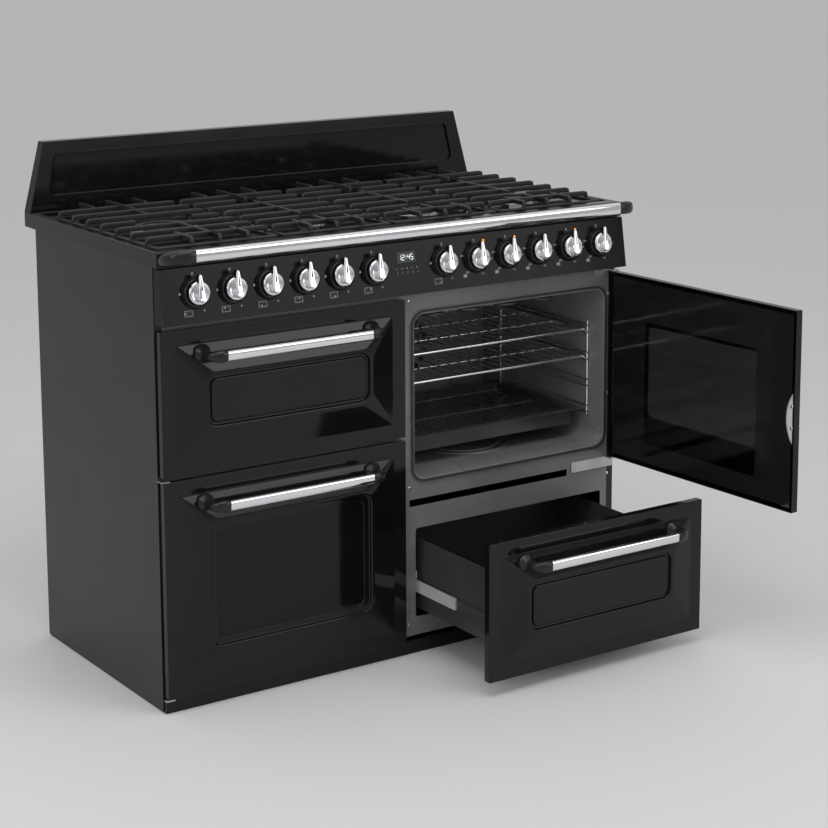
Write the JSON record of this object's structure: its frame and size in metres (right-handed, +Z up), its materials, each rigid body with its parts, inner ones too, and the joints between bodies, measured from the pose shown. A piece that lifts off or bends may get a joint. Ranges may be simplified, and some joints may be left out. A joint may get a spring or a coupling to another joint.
{
  "type": "range cooker",
  "caption": "Free-standing black range cooker with gas burners under cast pan supports, chrome rail and knobs, ovens behind pressed doors, and a storage drawer.",
  "frame": {"origin": "middle of the footprint, on the floor: the plinth's lower edge stands at z = 0, the worktop spans x -0.55 to 0.55 and y -0.30 to 0.30", "axes": "+X to the right as seen from the front, +Y to the back, where the gas inlet points, +Z up"},
  "size_m": [1.1854, 1.1286, 1.045],
  "materials": {
    "side_paint": "satin",
    "galvanised": "dull galvanised sheet",
    "black_enamel": "glossy vitreous enamel",
    "feet": "matt",
    "grey_enamel": "semi-gloss vitreous enamel",
    "oven_enamel": "semi-gloss vitreous enamel",
    "seal_rubber": "matt",
    "chrome_wire": "bright",
    "element_steel": "oxidised",
    "lens_plastic": "glossy",
    "black_plastic": "satin",
    "chrome": "polished",
    "burner_alloy": "cast, machined",
    "burner_enamel": "matt enamel",
    "ceramic": "white ceramic",
    "cast_iron": "matt enamelled",
    "brass": "bare",
    "runner_steel": "zinc plated",
    "hinge_steel": "zinc plated",
    "dark_glass": "tinted, polished",
    "drawer_steel": "satin",
    "tray_enamel": "glossy vitreous enamel"
  },
  "bodies": {
    "carcass": {"side_panels": "side_paint", "back_panel": "galvanised", "base_pan": "black_enamel", "levelling_feet": "feet", "front_frame": "grey_enamel", "cavity_upper_left": "oven_enamel", "cavity_lower_left": "oven_enamel", "cavity_right": "oven_enamel", "oven_seals": "seal_rubber", "oven_racks": "chrome_wire", "heating_elements": "element_steel", "fan_housing": "oven_enamel", "control_panel": "black_enamel", "indicator_lenses": "lens_plastic", "knob_bezels": "black_plastic", "towel_rail": "chrome", "hob_top": "black_enamel", "splashback": "black_enamel", "burner_bodies": "burner_alloy", "burner_caps": "burner_enamel", "igniters": "ceramic", "pan_supports": "cast_iron", "gas_taps_and_switches": "brass", "drawer_runners_fixed": "runner_steel", "hinge_brackets": "hinge_steel"},
    "right_door": {"right_door_skin": "black_enamel", "right_door_glass": "dark_glass", "right_door_handle": "chrome"},
    "lower_left_door": {"lower_door_skin": "black_enamel", "lower_door_glass": "dark_glass", "lower_door_handle": "chrome"},
    "upper_left_door": {"upper_door_skin": "black_enamel", "upper_door_inner": "oven_enamel", "upper_door_handle": "chrome"},
    "drawer": {"drawer_front": "black_enamel", "drawer_box": "drawer_steel", "drawer_handle": "chrome"},
    "runner_middles": {"drawer_runners_middle": "runner_steel"},
    "fan": {"convection_fan": "runner_steel"},
    "shelf_upper": {"right_shelf_upper": "chrome_wire"},
    "shelf_lower": {"right_shelf_lower": "chrome_wire"},
    "tray": {"roasting_tray": "tray_enamel", "tray_insert": "chrome_wire"},
    "control_01": {"knob_01": "chrome"},
    "control_02": {"knob_02": "chrome"},
    "control_03": {"knob_03": "chrome"},
    "control_04": {"knob_04": "chrome"},
    "control_05": {"knob_05": "chrome"},
    "control_06": {"knob_06": "chrome"},
    "control_07": {"knob_07": "chrome"},
    "control_08": {"knob_08": "chrome"},
    "control_09": {"knob_09": "chrome"},
    "control_10": {"knob_10": "chrome"},
    "control_11": {"knob_11": "chrome"},
    "control_12": {"knob_12": "chrome"},
    "button_1": {"clock_button_1": "black_plastic"},
    "button_2": {"clock_button_2": "black_plastic"},
    "button_3": {"clock_button_3": "black_plastic"},
    "button_4": {"clock_button_4": "black_plastic"},
    "button_5": {"clock_button_5": "black_plastic"}
  },
  "joints": [
    {"name": "right_door_hinge", "type": "hinge", "parent": "carcass", "child": "right_door", "pos_m": [0.541, -0.291, 0.5447], "axis": [0, 0, 1], "range_deg": [-93, 12]},
    {"name": "lower_left_door_hinge", "type": "hinge", "parent": "carcass", "child": "lower_left_door", "pos_m": [-0.541, -0.291, 0.2452], "axis": [0, 0, 1], "range_deg": [-100, 0]},
    {"name": "upper_left_door_hinge", "type": "hinge", "parent": "carcass", "child": "upper_left_door", "pos_m": [-0.275, -0.291, 0.4745], "axis": [1, 0, 0], "range_deg": [0, 90]},
    {"name": "drawer_slide", "type": "slide", "parent": "carcass", "child": "drawer", "axis": [0, -1, 0], "range_m": [-0.281, 0.09]},
    {"name": "runner_middle_slide", "type": "slide", "parent": "carcass", "child": "runner_middles", "axis": [0, -1, 0], "range_m": [-0.1405, 0.045]},
    {"name": "fan_spin", "type": "hinge", "parent": "carcass", "child": "fan", "pos_m": [0.275, 0.15, 0.5405], "axis": [0, 1, 0], "continuous": true},
    {"name": "shelf_upper_slide", "type": "slide", "parent": "carcass", "child": "shelf_upper", "axis": [0, -1, 0], "range_m": [0, 0.2]},
    {"name": "shelf_lower_slide", "type": "slide", "parent": "carcass", "child": "shelf_lower", "axis": [0, -1, 0], "range_m": [0, 0.2]},
    {"name": "tray_slide", "type": "slide", "parent": "carcass", "child": "tray", "axis": [0, -1, 0], "range_m": [0, 0.2]},
    {"name": "control_01_turn", "type": "hinge", "parent": "carcass", "child": "control_01", "pos_m": [-0.4785, -0.31093, 0.819], "axis": [0, -0.9871, 0.1598], "range_deg": [0, 210]},
    {"name": "control_02_turn", "type": "hinge", "parent": "carcass", "child": "control_02", "pos_m": [-0.3995, -0.31093, 0.819], "axis": [0, -0.9871, 0.1598], "range_deg": [0, 210]},
    {"name": "control_03_turn", "type": "hinge", "parent": "carcass", "child": "control_03", "pos_m": [-0.3205, -0.31093, 0.819], "axis": [0, -0.9871, 0.1598], "range_deg": [0, 210]},
    {"name": "control_04_turn", "type": "hinge", "parent": "carcass", "child": "control_04", "pos_m": [-0.2415, -0.31093, 0.819], "axis": [0, -0.9871, 0.1598], "range_deg": [0, 210]},
    {"name": "control_05_turn", "type": "hinge", "parent": "carcass", "child": "control_05", "pos_m": [-0.1625, -0.31093, 0.819], "axis": [0, -0.9871, 0.1598], "range_deg": [0, 210]},
    {"name": "control_06_turn", "type": "hinge", "parent": "carcass", "child": "control_06", "pos_m": [-0.0835, -0.31093, 0.819], "axis": [0, -0.9871, 0.1598], "range_deg": [0, 210]},
    {"name": "control_07_turn", "type": "hinge", "parent": "carcass", "child": "control_07", "pos_m": [0.0835, -0.31093, 0.819], "axis": [0, -0.9871, 0.1598], "range_deg": [0, 210]},
    {"name": "control_08_turn", "type": "hinge", "parent": "carcass", "child": "control_08", "pos_m": [0.1625, -0.31093, 0.819], "axis": [0, -0.9871, 0.1598], "range_deg": [-270, 0]},
    {"name": "control_09_turn", "type": "hinge", "parent": "carcass", "child": "control_09", "pos_m": [0.2415, -0.31093, 0.819], "axis": [0, -0.9871, 0.1598], "range_deg": [-270, 0]},
    {"name": "control_10_turn", "type": "hinge", "parent": "carcass", "child": "control_10", "pos_m": [0.3205, -0.31093, 0.819], "axis": [0, -0.9871, 0.1598], "range_deg": [-315, 0]},
    {"name": "control_11_turn", "type": "hinge", "parent": "carcass", "child": "control_11", "pos_m": [0.3995, -0.31093, 0.819], "axis": [0, -0.9871, 0.1598], "range_deg": [-270, 0]},
    {"name": "control_12_turn", "type": "hinge", "parent": "carcass", "child": "control_12", "pos_m": [0.4785, -0.31093, 0.819], "axis": [0, -0.9871, 0.1598], "range_deg": [-315, 0]},
    {"name": "button_1_press", "type": "slide", "parent": "carcass", "child": "button_1", "axis": [0, 0.9871, -0.1598], "range_m": [0, 0.0008], "stiffness_N_per_m": 600},
    {"name": "button_2_press", "type": "slide", "parent": "carcass", "child": "button_2", "axis": [0, 0.9871, -0.1598], "range_m": [0, 0.0008], "stiffness_N_per_m": 600},
    {"name": "button_3_press", "type": "slide", "parent": "carcass", "child": "button_3", "axis": [0, 0.9871, -0.1598], "range_m": [0, 0.0008], "stiffness_N_per_m": 600},
    {"name": "button_4_press", "type": "slide", "parent": "carcass", "child": "button_4", "axis": [0, 0.9871, -0.1598], "range_m": [0, 0.0008], "stiffness_N_per_m": 600},
    {"name": "button_5_press", "type": "slide", "parent": "carcass", "child": "button_5", "axis": [0, 0.9871, -0.1598], "range_m": [0, 0.0008], "stiffness_N_per_m": 600}
  ],
  "couplings": [
    {"joint": "runner_middle_slide", "follows": "drawer_slide", "ratio": 0.5}
  ]
}
